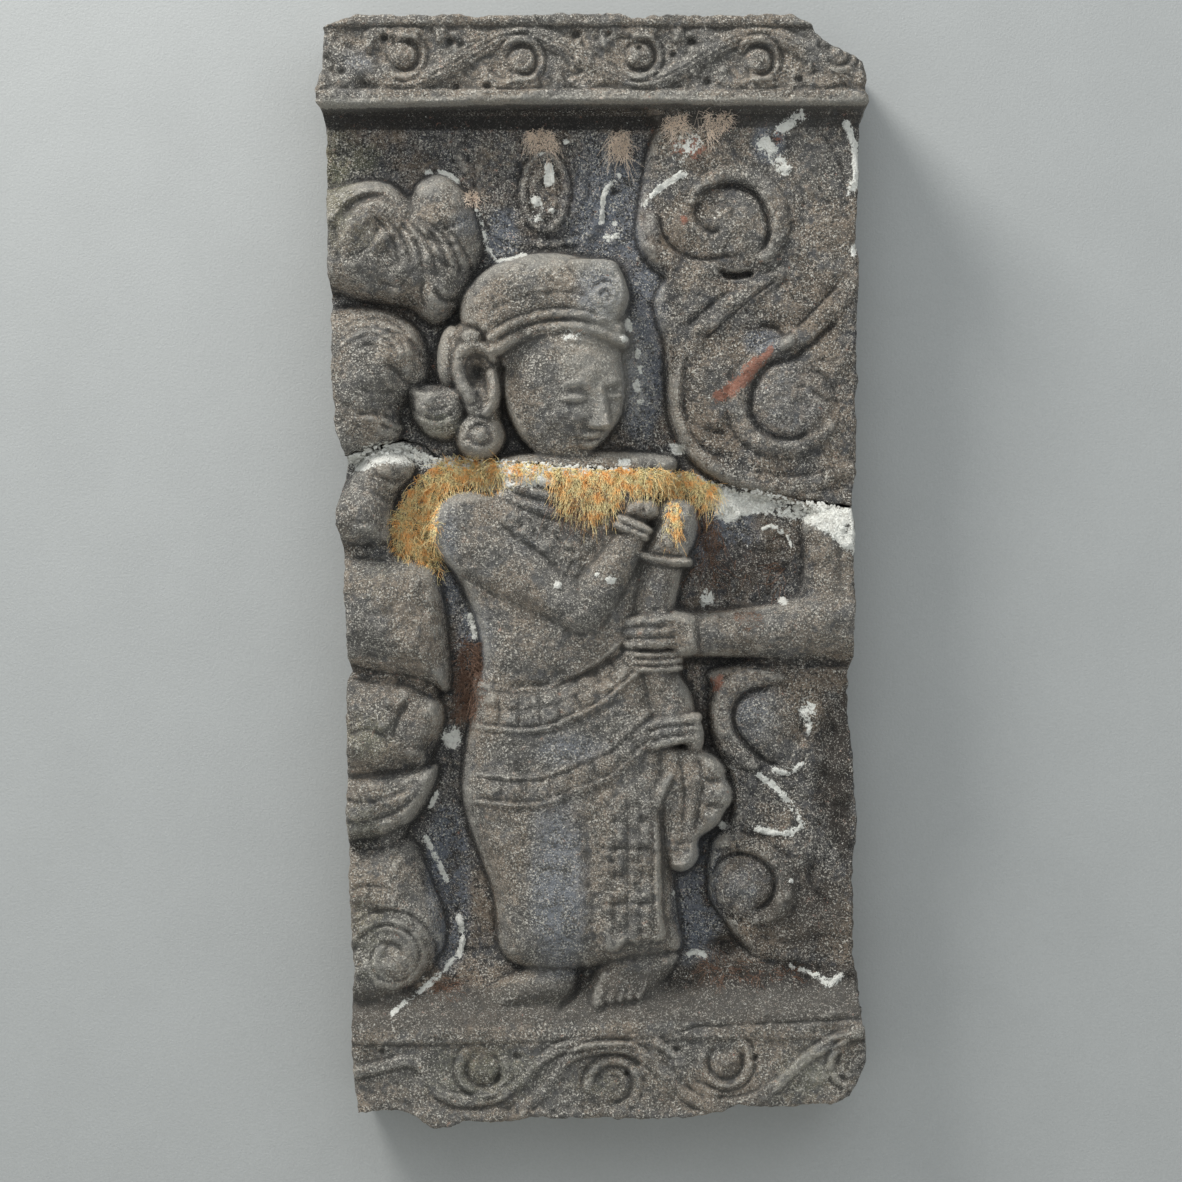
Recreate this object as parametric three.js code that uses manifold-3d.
// A carved stone relief panel: a standing figure among rocks and scrolls, between a cornice and a base
// band with running vines. It is two stones, one on top of the other, that meet at an uneven bed joint
// under the figure's chin.
//
// Millimetres. The panel's own frame has +Z up, its flat back in the plane y = 0 and its carved face
// towards -Y. The origin is in the middle of the back. The carving is laid out in a drawing frame with
// x to the right, y up and z out of the wall, and the group at the end stands that upright.

import * as THREE from 'three';
import { mergeVertices } from 'three/addons/utils/BufferGeometryUtils.js';
import Module from 'manifold-3d';

const wasm = await Module();
wasm.setup();

// ---- Driving dimensions ----

const GROUND = 80; // depth of the sunk ground, from the back
const BAND_RISE = 46; // the cornice and the base band stand this far off the ground
const FIELD_SINK = 6; // the vine's field lies this far behind the band's fillets
const HIGHEST = 60; // nothing is carved higher than this
const SMALLEST = 0.35; // detail finer than this is left out
const BED_GAP = 1; // open bed joint between the two stones
const EMBED = 8; // a form is sunk this far into what it grows from
const SCROLL_BED = 12; // the flat bed under the scrolls on the right

// ---- Outlines of the two stones, anticlockwise, as [x, y] ----

const BED_JOINT = [
  [-224, 97], [-190, 111], [-156, 114], [-130, 101], [-60, 96], [20, 92], [92, 86], [120, 75],
  [170, 66], [214, 51], [240, 55],
];
const UPPER_RIGHT = [[239, 120], [238, 200], [241, 330], [242, 402], [247, 416], [248, 438], [244, 455]];
const UPPER_TOP = [[222, 466], [204, 478], [202, 487], [190, 499], [-218, 499], [-232, 493], [-243, 484]];
const UPPER_LEFT = [
  [-242, 450], [-248, 430], [-247, 412], [-241, 400], [-239, 330], [-234, 190], [-229, 130],
];
const LOWER_LEFT = [
  [-222, 80], [-231, 56], [-222, 0], [-221, -60], [-217, -94], [-220, -130], [-217, -280],
  [-212, -396], [-216, -440], [-208, -484],
];
const LOWER_FOOT = [[-168, -486], [-136, -499], [-108, -496], [-60, -493], [112, -491], [130, -482]];
const LOWER_RIGHT = [
  [222, -478], [237, -468], [247, -446], [247, -420], [240, -390], [235, -300], [240, -230],
  [233, -110], [238, -72], [237, -20],
];

const UPPER_OUTLINE = [...BED_JOINT, ...UPPER_RIGHT, ...UPPER_TOP, ...UPPER_LEFT];
const LOWER_OUTLINE = [
  ...BED_JOINT.map(([x, y]) => [x, y - BED_GAP]).reverse(), ...LOWER_LEFT, ...LOWER_FOOT, ...LOWER_RIGHT,
];

// ---- Solids ----

const flat = (points) => points.map(([x, y]) => new THREE.Vector2(x, y));

// A closed geometry in the drawing frame as a manifold-3d solid.
function solidOf(geometry) {
  const bare = geometry.clone();
  bare.deleteAttribute('normal');
  bare.deleteAttribute('uv');
  const merged = mergeVertices(bare, 1e-4);
  return new wasm.Manifold(new wasm.Mesh({
    numProp: 3,
    vertProperties: merged.attributes.position.array,
    triVerts: new Uint32Array(merged.index.array),
  }));
}

function geometryOf(solid) {
  const { vertProperties, triVerts } = solid.getMesh();
  const geometry = new THREE.BufferGeometry();
  geometry.setAttribute('position', new THREE.BufferAttribute(new Float32Array(vertProperties), 3));
  geometry.setIndex(new THREE.BufferAttribute(new Uint32Array(triVerts), 1));
  geometry.computeVertexNormals();
  return geometry;
}

// A straight-edged prism of an outline, from one depth to another.
function prism(points, from, to) {
  const geometry = new THREE.ExtrudeGeometry(new THREE.Shape(flat(points)), {
    depth: to - from,
    bevelEnabled: false,
  });
  return solidOf(geometry.translate(0, 0, from));
}

// A raised form: a smooth outline through a few points, with a rounded rim.
function boss(points, rise, round = 10, detail = 1.35) {
  const corners = points.map(([x, y]) => new THREE.Vector3(x, y, 0));
  const count = Math.round(points.length * detail);
  const outline = new THREE.CatmullRomCurve3(corners, true).getSpacedPoints(count);
  const geometry = new THREE.ExtrudeGeometry(new THREE.Shape(outline.slice(1)), {
    depth: EMBED + rise - round,
    bevelThickness: round,
    bevelSize: round * 0.8,
    bevelOffset: -round * 0.8,
    bevelSegments: round < 10 ? 1 : 2,
  });
  return solidOf(geometry.translate(0, 0, GROUND - EMBED));
}

// Half of an ellipsoid that stands on the ground, turned by an angle in degrees.
function dome(x, y, width, height, rise, turn = 0, around = 8) {
  const geometry = new THREE.SphereGeometry(1, around, around < 12 ? 4 : 6);
  geometry.rotateX(Math.PI / 2);
  geometry.scale(width / 2, height / 2, rise);
  geometry.rotateZ(THREE.MathUtils.degToRad(turn));
  return solidOf(geometry.translate(x, y, GROUND));
}

// A round limb that tapers between two ends, each [x, y, height of its middle, radius].
function limb(from, to, around = 8) {
  const start = new THREE.Vector3(from[0], from[1], GROUND + from[2]);
  const end = new THREE.Vector3(to[0], to[1], GROUND + to[2]);
  const axis = end.clone().sub(start);
  const length = axis.length();
  const cap = (around < 8 ? [0, 60] : [0, 45, 90]).map(THREE.MathUtils.degToRad);
  const profile = [
    ...cap.map((a) => new THREE.Vector2(from[3] * Math.sin(a), -from[3] * Math.cos(a))),
    ...cap.reverse().map((a) => new THREE.Vector2(to[3] * Math.sin(a), length + to[3] * Math.cos(a))),
  ];
  profile[0].x = 0;
  profile.at(-1).x = 0;
  const geometry = new THREE.LatheGeometry(profile, around);
  geometry.applyQuaternion(new THREE.Quaternion().setFromUnitVectors(
    new THREE.Vector3(0, 1, 0),
    axis.normalize(),
  ));
  return solidOf(geometry.translate(start.x, start.y, start.z));
}

const curveOf = (points, depth) => new THREE.CatmullRomCurve3(
  points.map(([x, y]) => new THREE.Vector3(x, y, depth)),
);

// A raised stem along a curve. In a section swept along a curve that lies flat, -x points out.
function stem(points, width, rise, steps = points.length) {
  const half = width / 2;
  const round = Math.min(half, rise);
  const crest = width < 10 ? [[-rise, 0]] : [[-rise, half * 0.35], [-rise, -half * 0.35]];
  const section = new THREE.Shape(flat([
    [EMBED, -half], [EMBED, half], [round - rise, half], ...crest, [round - rise, -half],
  ]));
  const geometry = new THREE.ExtrudeGeometry(section, {
    steps,
    bevelEnabled: false,
    extrudePath: curveOf(points, GROUND),
  });
  return solidOf(geometry);
}

// A cut along a curve, V-shaped, from the height of the surface down to its floor.
function groove(points, width, surface, depth, steps = points.length) {
  const half = width / 2;
  const clear = 12;
  const tip = [-surface + depth, 0];
  const section = new THREE.Shape(flat([tip, [-surface - clear, -half], [-surface - clear, half]]));
  const geometry = new THREE.ExtrudeGeometry(section, {
    steps,
    bevelEnabled: false,
    extrudePath: curveOf(points, GROUND),
  });
  return solidOf(geometry);
}

// A horizontal moulding: a profile of [rise, y] swept from the left edge to the right.
function moulding(profile) {
  const span = 520;
  const points = profile.map(([rise, y]) => [GROUND + rise, y]);
  const geometry = new THREE.ExtrudeGeometry(new THREE.Shape(flat(points)), {
    depth: span,
    bevelEnabled: false,
  });
  geometry.rotateY(-Math.PI / 2);
  return solidOf(geometry.translate(span / 2, 0, 0));
}

// Points of an arc or spiral about [x, y]: radii at its ends, start angle and sweep in degrees.
function spiral(x, y, fromRadius, toRadius, start, sweep, count = 8) {
  return Array.from({ length: count + 1 }, (_, i) => {
    const t = i / count;
    const angle = THREE.MathUtils.degToRad(start + sweep * t);
    const radius = THREE.MathUtils.lerp(fromRadius, toRadius, t);
    return [x + radius * Math.cos(angle), y + radius * Math.sin(angle)];
  });
}

// Evenly spaced points on a curve, without its two ends.
const along = (points, count) => curveOf(points, 0)
  .getSpacedPoints(count + 1)
  .slice(1, -1)
  .map((p) => [p.x, p.y]);

// A running vine: a waved stem with a bud and its curled shoot inside each wave.
function vine(middle, wave, pitch, first, count, rise) {
  const phase = (x) => Math.cos(Math.PI * (x - first) / pitch);
  const samples = count * 5;
  const stalk = Array.from({ length: samples + 1 }, (_, i) => {
    const x = first - pitch * 0.6 + pitch * (count + 0.4) * (i / samples);
    return [x, middle - wave * phase(x)];
  });
  const shoots = Array.from({ length: count }, (_, k) => {
    const side = k % 2 ? -1 : 1;
    const x = first + pitch * (k + 0.12);
    const y = middle + side * wave * 0.1;
    return [
      dome(x, y, wave * 1.1, wave * 1.1, rise, 0, 8),
      stem(spiral(x, y, wave * 1.05, wave * 0.85, -side * 60, -side * 200), wave * 0.3, rise - 1, 7),
    ];
  });
  return [stem(stalk, wave * 0.42, rise, samples), ...shoots.flat()];
}

// ---- Upper stone ----

// The cornice: a hollow under it, two fillets, and the vine's field between them.
function cornice() {
  const field = BAND_RISE - FIELD_SINK;
  return [
    moulding([
      [-EMBED, 396], [0, 397], [12, 401], [30, 412], [BAND_RISE, 415], [BAND_RISE, 431], [field, 434],
      [field, 482], [BAND_RISE, 486], [BAND_RISE, 505], [-EMBED, 505],
    ]),
    ...vine(459, 21, 106, -169, 4, BAND_RISE),
  ];
}

// A tall leafy rock and a lower one behind the figure's head, and the curl beside the earring.
function upperRocks() {
  return [
    boss([
      [-250, 342], [-200, 351], [-166, 341], [-150, 356], [-128, 356], [-110, 328], [-99, 290],
      [-112, 250], [-138, 222], [-168, 237], [-250, 246],
    ], 40, 12),
    dome(-128, 335, 52, 60, 44, 20),
    stem([[-228, 282], [-217, 314], [-196, 328], [-174, 322]], 13, 45),
    stem([[-196, 292], [-182, 306], [-160, 300]], 11, 44),
    boss([
      [-250, 236], [-180, 236], [-155, 216], [-148, 184], [-162, 160], [-172, 142], [-172, 124],
      [-250, 96],
    ], 38, 11),
    dome(-178, 178, 30, 32, 44),
    stem([[-161, 160], [-157, 136], [-144, 122], [-128, 120], [-120, 132]], 11, 36),
  ];
}

const UPPER_ROCK_CUTS = [
  groove([[-224, 308], [-213, 328], [-194, 338], [-174, 334]], 8, 42, 8),
  groove([[-184, 314], [-192, 302], [-206, 292]], 7, 42, 8),
  groove([[-162, 286], [-172, 270], [-190, 258]], 8, 42, 8),
  groove([[-140, 284], [-130, 272], [-114, 266]], 8, 42, 8),
  groove([[-200, 202], [-182, 213], [-160, 202], [-154, 186], [-168, 174]], 7, 40, 8),
  groove([[-206, 160], [-190, 157], [-174, 161]], 6, 40, 6),
  groove([[-208, 137], [-190, 140], [-172, 135]], 6, 40, 6),
];

// The head in its high crown, turned a little towards the right, with an ear, an earring and hair.
function head() {
  const rings = [0, 1].map((k) => stem(spiral(-100, 122, 18 - k * 9, 18 - k * 9, 0, 350), 6, 46, 8));
  return [
    dome(-62, 196, 132, 150, 42, 0, 12),
    boss([
      [-116, 238], [-100, 266], [-60, 284], [-16, 284], [22, 272], [29, 240], [26, 206], [-30, 212],
      [-84, 200],
    ], 48, 14),
    dome(-27, 152, 104, 122, 55, 0, 12),
    boss([[-16, 272], [20, 273], [28, 246], [24, 226], [4, 228], [-8, 248]], 52, 4),
    dome(13, 246, 18, 18, 56),
    stem([[-80, 204], [-58, 215], [-18, 219], [24, 210]], 8, 53),
    stem([[-86, 224], [-58, 236], [-18, 240], [0, 238]], 7, 52),
    limb([-10, 172, 46, 7], [-6, 146, 50, 9], 8),
    dome(-34, 168, 26, 13, 58, 8),
    dome(11, 168, 20, 12, 54, -8),
    dome(-12, 122, 32, 12, 57),
    boss([[-132, 178], [-128, 210], [-108, 224], [-96, 200], [-100, 168], [-120, 160]], 40, 8),
    boss([[-114, 170], [-112, 196], [-98, 200], [-88, 182], [-94, 158], [-104, 154]], 46, 5),
    dome(-100, 122, 46, 46, 42),
    ...rings,
  ];
}

const HEAD_CUTS = [
  groove([[-102, 188], [-104, 178], [-101, 168]], 9, 47, 9),
];

// Two large scrolls with their stalks on a low bed, and a hanging drop beside the crown.
function upperScrolls() {
  const drop = [1, 0.6].map((size, k) => dome(-42, 342 - k * 3, 44 * size, 66 * size, 9 + k * 4, 0, 10));
  return [
    boss([
      [64, 412], [48, 384], [42, 310], [50, 278], [66, 262], [58, 226], [70, 190], [72, 130],
      [96, 92], [140, 66], [260, 56], [260, 412],
    ], SCROLL_BED, 5, 2),
    ...drop,
    stem([[66, 312], [80, 290], [104, 278], [130, 282]], 9, 18),
    stem(spiral(132, 316, 38, 38, 145, -215, 10), 14, 24, 9),
    stem(spiral(122, 322, 26, 18, 200, 150, 6), 9, 18, 7),
    stem([[162, 256], [134, 243], [106, 224], [86, 208]], 15, 24),
    stem([[226, 246], [204, 222], [186, 206], [160, 198]], 14, 24),
    stem(spiral(178, 168, 102, 98, 150, 170, 14), 10, 22, 11),
    stem(spiral(178, 152, 48, 40, 110, 215, 12), 13, 26, 11),
    dome(192, 157, 26, 24, 26),
    stem(spiral(186, 158, 34, 24, 20, 70, 4), 8, 20),
  ];
}

const UPPER_SCROLL_CUTS = [
  groove(spiral(132, 314, 27, 27, 150, -190, 8), 6, 14, 8),
  groove([[118, 266], [132, 264], [146, 269]], 9, 14, 10),
  groove(spiral(178, 152, 32, 30, 110, 200, 8), 6, 14, 8),
  groove([[150, 216], [164, 220], [176, 216]], 10, 14, 8),
];

// ---- Lower stone ----

// The torso with the right arm bent across it to a closed hand at the left shoulder.
function torso() {
  const knuckles = [0, 1, 2, 3].map((k) => limb([34 + k * 7, 60, 40, 5], [37 + k * 7, 47, 44, 5], 6));
  const collars = [
    stem([[-84, 72], [-62, 52], [-36, 34], [-6, 28], [20, 48]], 7, 40),
    stem([[-78, 52], [-58, 32], [-36, 12], [-14, 4]], 9, 40),
  ];
  return [
    boss([
      [-142, 46], [-122, 66], [-84, 80], [-20, 100], [40, 96], [60, 40], [44, -60], [20, -96],
      [-60, -110], [-98, -96], [-110, -30], [-130, 6],
    ], 36, 14),
    dome(-50, 34, 96, 70, 42, -30, 12),
    ...collars,
    limb([-106, 30, 22, 31], [-74, 8, 26, 30]),
    limb([-74, 8, 26, 30], [-8, -38, 32, 22]),
    limb([-8, -38, 32, 22], [38, 30, 38, 15]),
    limb([37, 32, 38, 17], [41, 41, 38, 17]),
    limb([36, 54, 32, 12], [56, 54, 32, 12]),
    ...knuckles,
  ];
}

// The left arm with its armband, and the hand that grips it from the right.
function leftArm() {
  const fingers = [0, 1, 2].map((k) => limb([37, -46 - k * 10, 34, 5.5], [76, -46 - k * 10, 26, 6], 6));
  const bangles = [0, 1, 2].map((k) => limb([98 + k * 9, -76, 16, 6], [96 + k * 9, -36, 18, 6], 6));
  return [
    dome(74, 44, 50, 46, 38),
    limb([66, 28, 20, 21], [56, -40, 22, 20]),
    boss([[54, 20], [58, 38], [68, 50], [80, 36], [84, 18]], 46, 5),
    stem([[48, 14], [66, 9], [86, 6]], 8, 46),
    limb([54, -82, 24, 16], [72, -128, 26, 18]),
    stem([[36, -80], [54, -84], [76, -79]], 10, 42),
    ...fingers,
    dome(84, -58, 44, 48, 36),
    limb([92, -58, 12, 22], [250, -46, 12, 34], 10),
    ...bangles,
  ];
}

const HIP_LINE = [[-97, -100], [-56, -104], [-12, -90], [31, -60]];
const BELT_DROP = 42; // from one belt's top to the next below it
const lowered = (points, by) => points.map(([x, y]) => [x * 1.02 + by * 0.1, y - by]);

// A belt between two fillets, with round bosses along it.
function belt(top, width) {
  const middle = lowered(top, width / 2);
  return [
    stem(top, 8, 46, 7),
    stem(lowered(top, width), 8, 46, 7),
    ...along(middle, 6).map(([x, y]) => dome(x, y, 15, 15, 45, 0, 6)),
  ];
}

// The skirt, its two belts, the sash's knot and tail, and the beaded panel.
function skirt() {
  const knot = [0, 1, 2].map((k) => {
    const start = [54 + k * 10, -134 - k * 9, 34, 8];
    const end = [86 + k * 4, -128 - k * 9, 34, 8];
    return limb(start, end, 8);
  });
  const columns = [21, 42, 61].map((x, k) => boss([
    [x - 9, -202], [x, -194], [x + 9, -198], [x + 9, -260], [x + 9, -318 + k * 8], [x, -336 + k * 8],
    [x - 9, -320 + k * 8], [x - 9, -260],
  ], 46, 4, 1.25));
  const beads = [-216, -246, -275, -306].flatMap((y) => [21, 42].map((x) => dome(x, y, 16, 22, 49, 0, 6)));
  return [
    boss([
      [-100, -90], [-40, -92], [36, -50], [56, -100], [64, -170], [70, -280], [82, -342], [20, -358],
      [-45, -364], [-84, -350], [-88, -296], [-110, -236], [-115, -188], [-104, -130],
    ], 41, 16),
    ...belt(HIP_LINE, 35),
    ...belt(lowered(HIP_LINE, BELT_DROP * 1.8), 27),
    ...knot,
    boss([
      [62, -158], [100, -158], [122, -184], [129, -204], [110, -236], [97, -246], [94, -268],
      [72, -270], [62, -240],
    ], 44, 7),
    stem([[74, -182], [80, -205], [88, -235], [84, -262]], 9, 48),
    stem([[100, -168], [114, -190], [104, -222]], 9, 48),
    ...columns,
    ...beads,
  ];
}

const SKIRT_CUTS = [
  groove([[72, -190], [67, -203], [62, -214]], 8, 46, 9),
  groove([[66, -243], [80, -245], [96, -242]], 5, 46, 5),
  groove([[4, -214], [0, -270], [2, -352]], 8, 43, 7),
];

// The feet on their sloping ledge: the right one in profile, the left one seen from the front.
function feet() {
  const toes = [9, 8, 7, 6.5, 6].map((radius, k) => limb(
    [10 + k * 10, -374, 30, radius],
    [9 + k * 10, -386 + k, 32, radius],
    6,
  ));
  return [
    limb([-26, -352, 22, 17], [-28, -378, 22, 18]),
    limb([-36, -376, 24, 17], [-102, -394, 28, 9]),
    limb([32, -346, 20, 19], [30, -374, 26, 19]),
    ...toes,
  ];
}

// Five rounded rocks one below the other at the left edge; the lowest is a coil.
function lowerRocks() {
  return [
    boss([[-202, 112], [-158, 114], [-160, 78], [-180, 62], [-179, 16], [-250, 12], [-250, 96]], 40, 10),
    dome(-179, 88, 36, 30, 45),
    boss([
      [-250, 14], [-146, 6], [-134, -20], [-127, -70], [-130, -112], [-166, -97], [-250, -88],
    ], 43, 14),
    boss([[-250, -98], [-160, -102], [-136, -116], [-136, -150], [-154, -182], [-250, -188]], 42, 12),
    stem([[-226, -198], [-188, -193], [-152, -178]], 18, 40),
    stem([[-226, -236], [-188, -230], [-158, -208], [-140, -188]], 26, 38),
    boss([
      [-250, -244], [-168, -246], [-144, -274], [-131, -320], [-142, -364], [-180, -400], [-250, -402],
    ], 38, 12),
    stem(spiral(-184, -340, 42, 14, 130, -500, 14), 13, 44, 14),
  ];
}

const LOWER_ROCK_CUTS = [
  groove([[-164, -118], [-172, -134], [-178, -156]], 7, 43, 8),
  groove([[-224, -152], [-204, -146], [-184, -149]], 7, 43, 8),
  groove([[-230, -292], [-202, -287], [-180, -290]], 7, 42, 8),
];

// Two more scrolls on a low bed at the right, the upper one a crescent, the lower one a coiled disc.
function lowerScrolls() {
  return [
    boss([
      [126, -84], [260, -82], [260, -360], [160, -358], [128, -334], [110, -292], [108, -240],
      [106, -130],
    ], SCROLL_BED, 5, 2),
    stem(spiral(152, -136, 44, 40, 80, 200, 10), 14, 26, 9),
    dome(160, -140, 56, 62, 24, 0, 12),
    dome(138, -284, 60, 60, 26, 0, 12),
    stem(spiral(138, -282, 42, 38, 120, -240, 10), 13, 22, 9),
    stem([[196, -130], [188, -170], [196, -220]], 12, 20),
  ];
}

// The ledge that carries the feet, and the base band with its vine.
function base() {
  const field = BAND_RISE - FIELD_SINK;
  return [
    moulding([
      [-EMBED, -505], [BAND_RISE, -505], [BAND_RISE, -476], [field, -472], [field, -424],
      [BAND_RISE, -420], [BAND_RISE, -406], [8, -360], [-EMBED, -356],
    ]),
    ...vine(-450, 20, 113, -112, 4, BAND_RISE),
  ];
}

// ---- The two stones ----

// Joins the carving to its slab, cuts the grooves, trims it all to the stone's own outline, and drops
// edges shorter than SMALLEST. Only the outer shell is kept, so a pocket closed in between two forms
// is solid stone.
function stone(outline, forms, cuts) {
  const slab = prism(outline, 0, GROUND);
  const carved = forms.reduce((solid, form) => solid.add(form), slab);
  const cut = cuts.reduce((solid, tool) => solid.subtract(tool), carved);
  const trimmed = cut.intersect(prism(outline, 0, GROUND + HIGHEST)).simplify(SMALLEST);
  const [shell] = trimmed.decompose().sort((a, b) => b.volume() - a.volume());
  return geometryOf(shell);
}

const tuff = { color: 0x55504a, roughness: 0.94, metalness: 0 };

const upperStone = new THREE.Mesh(
  stone(
    UPPER_OUTLINE,
    [...cornice(), ...upperRocks(), ...head(), ...upperScrolls()],
    [...UPPER_ROCK_CUTS, ...HEAD_CUTS, ...UPPER_SCROLL_CUTS],
  ),
  new THREE.MeshStandardMaterial(tuff),
);
upperStone.name = 'upper_stone';

const lowerStone = new THREE.Mesh(
  stone(
    LOWER_OUTLINE,
    [...torso(), ...leftArm(), ...skirt(), ...feet(), ...lowerRocks(), ...lowerScrolls(), ...base()],
    [...SKIRT_CUTS, ...LOWER_ROCK_CUTS],
  ),
  new THREE.MeshStandardMaterial(tuff),
);
lowerStone.name = 'lower_stone';

const panel = new THREE.Group();
panel.name = 'stone_relief_panel';
panel.rotation.x = Math.PI / 2;
panel.add(upperStone, lowerStone);

export default panel;
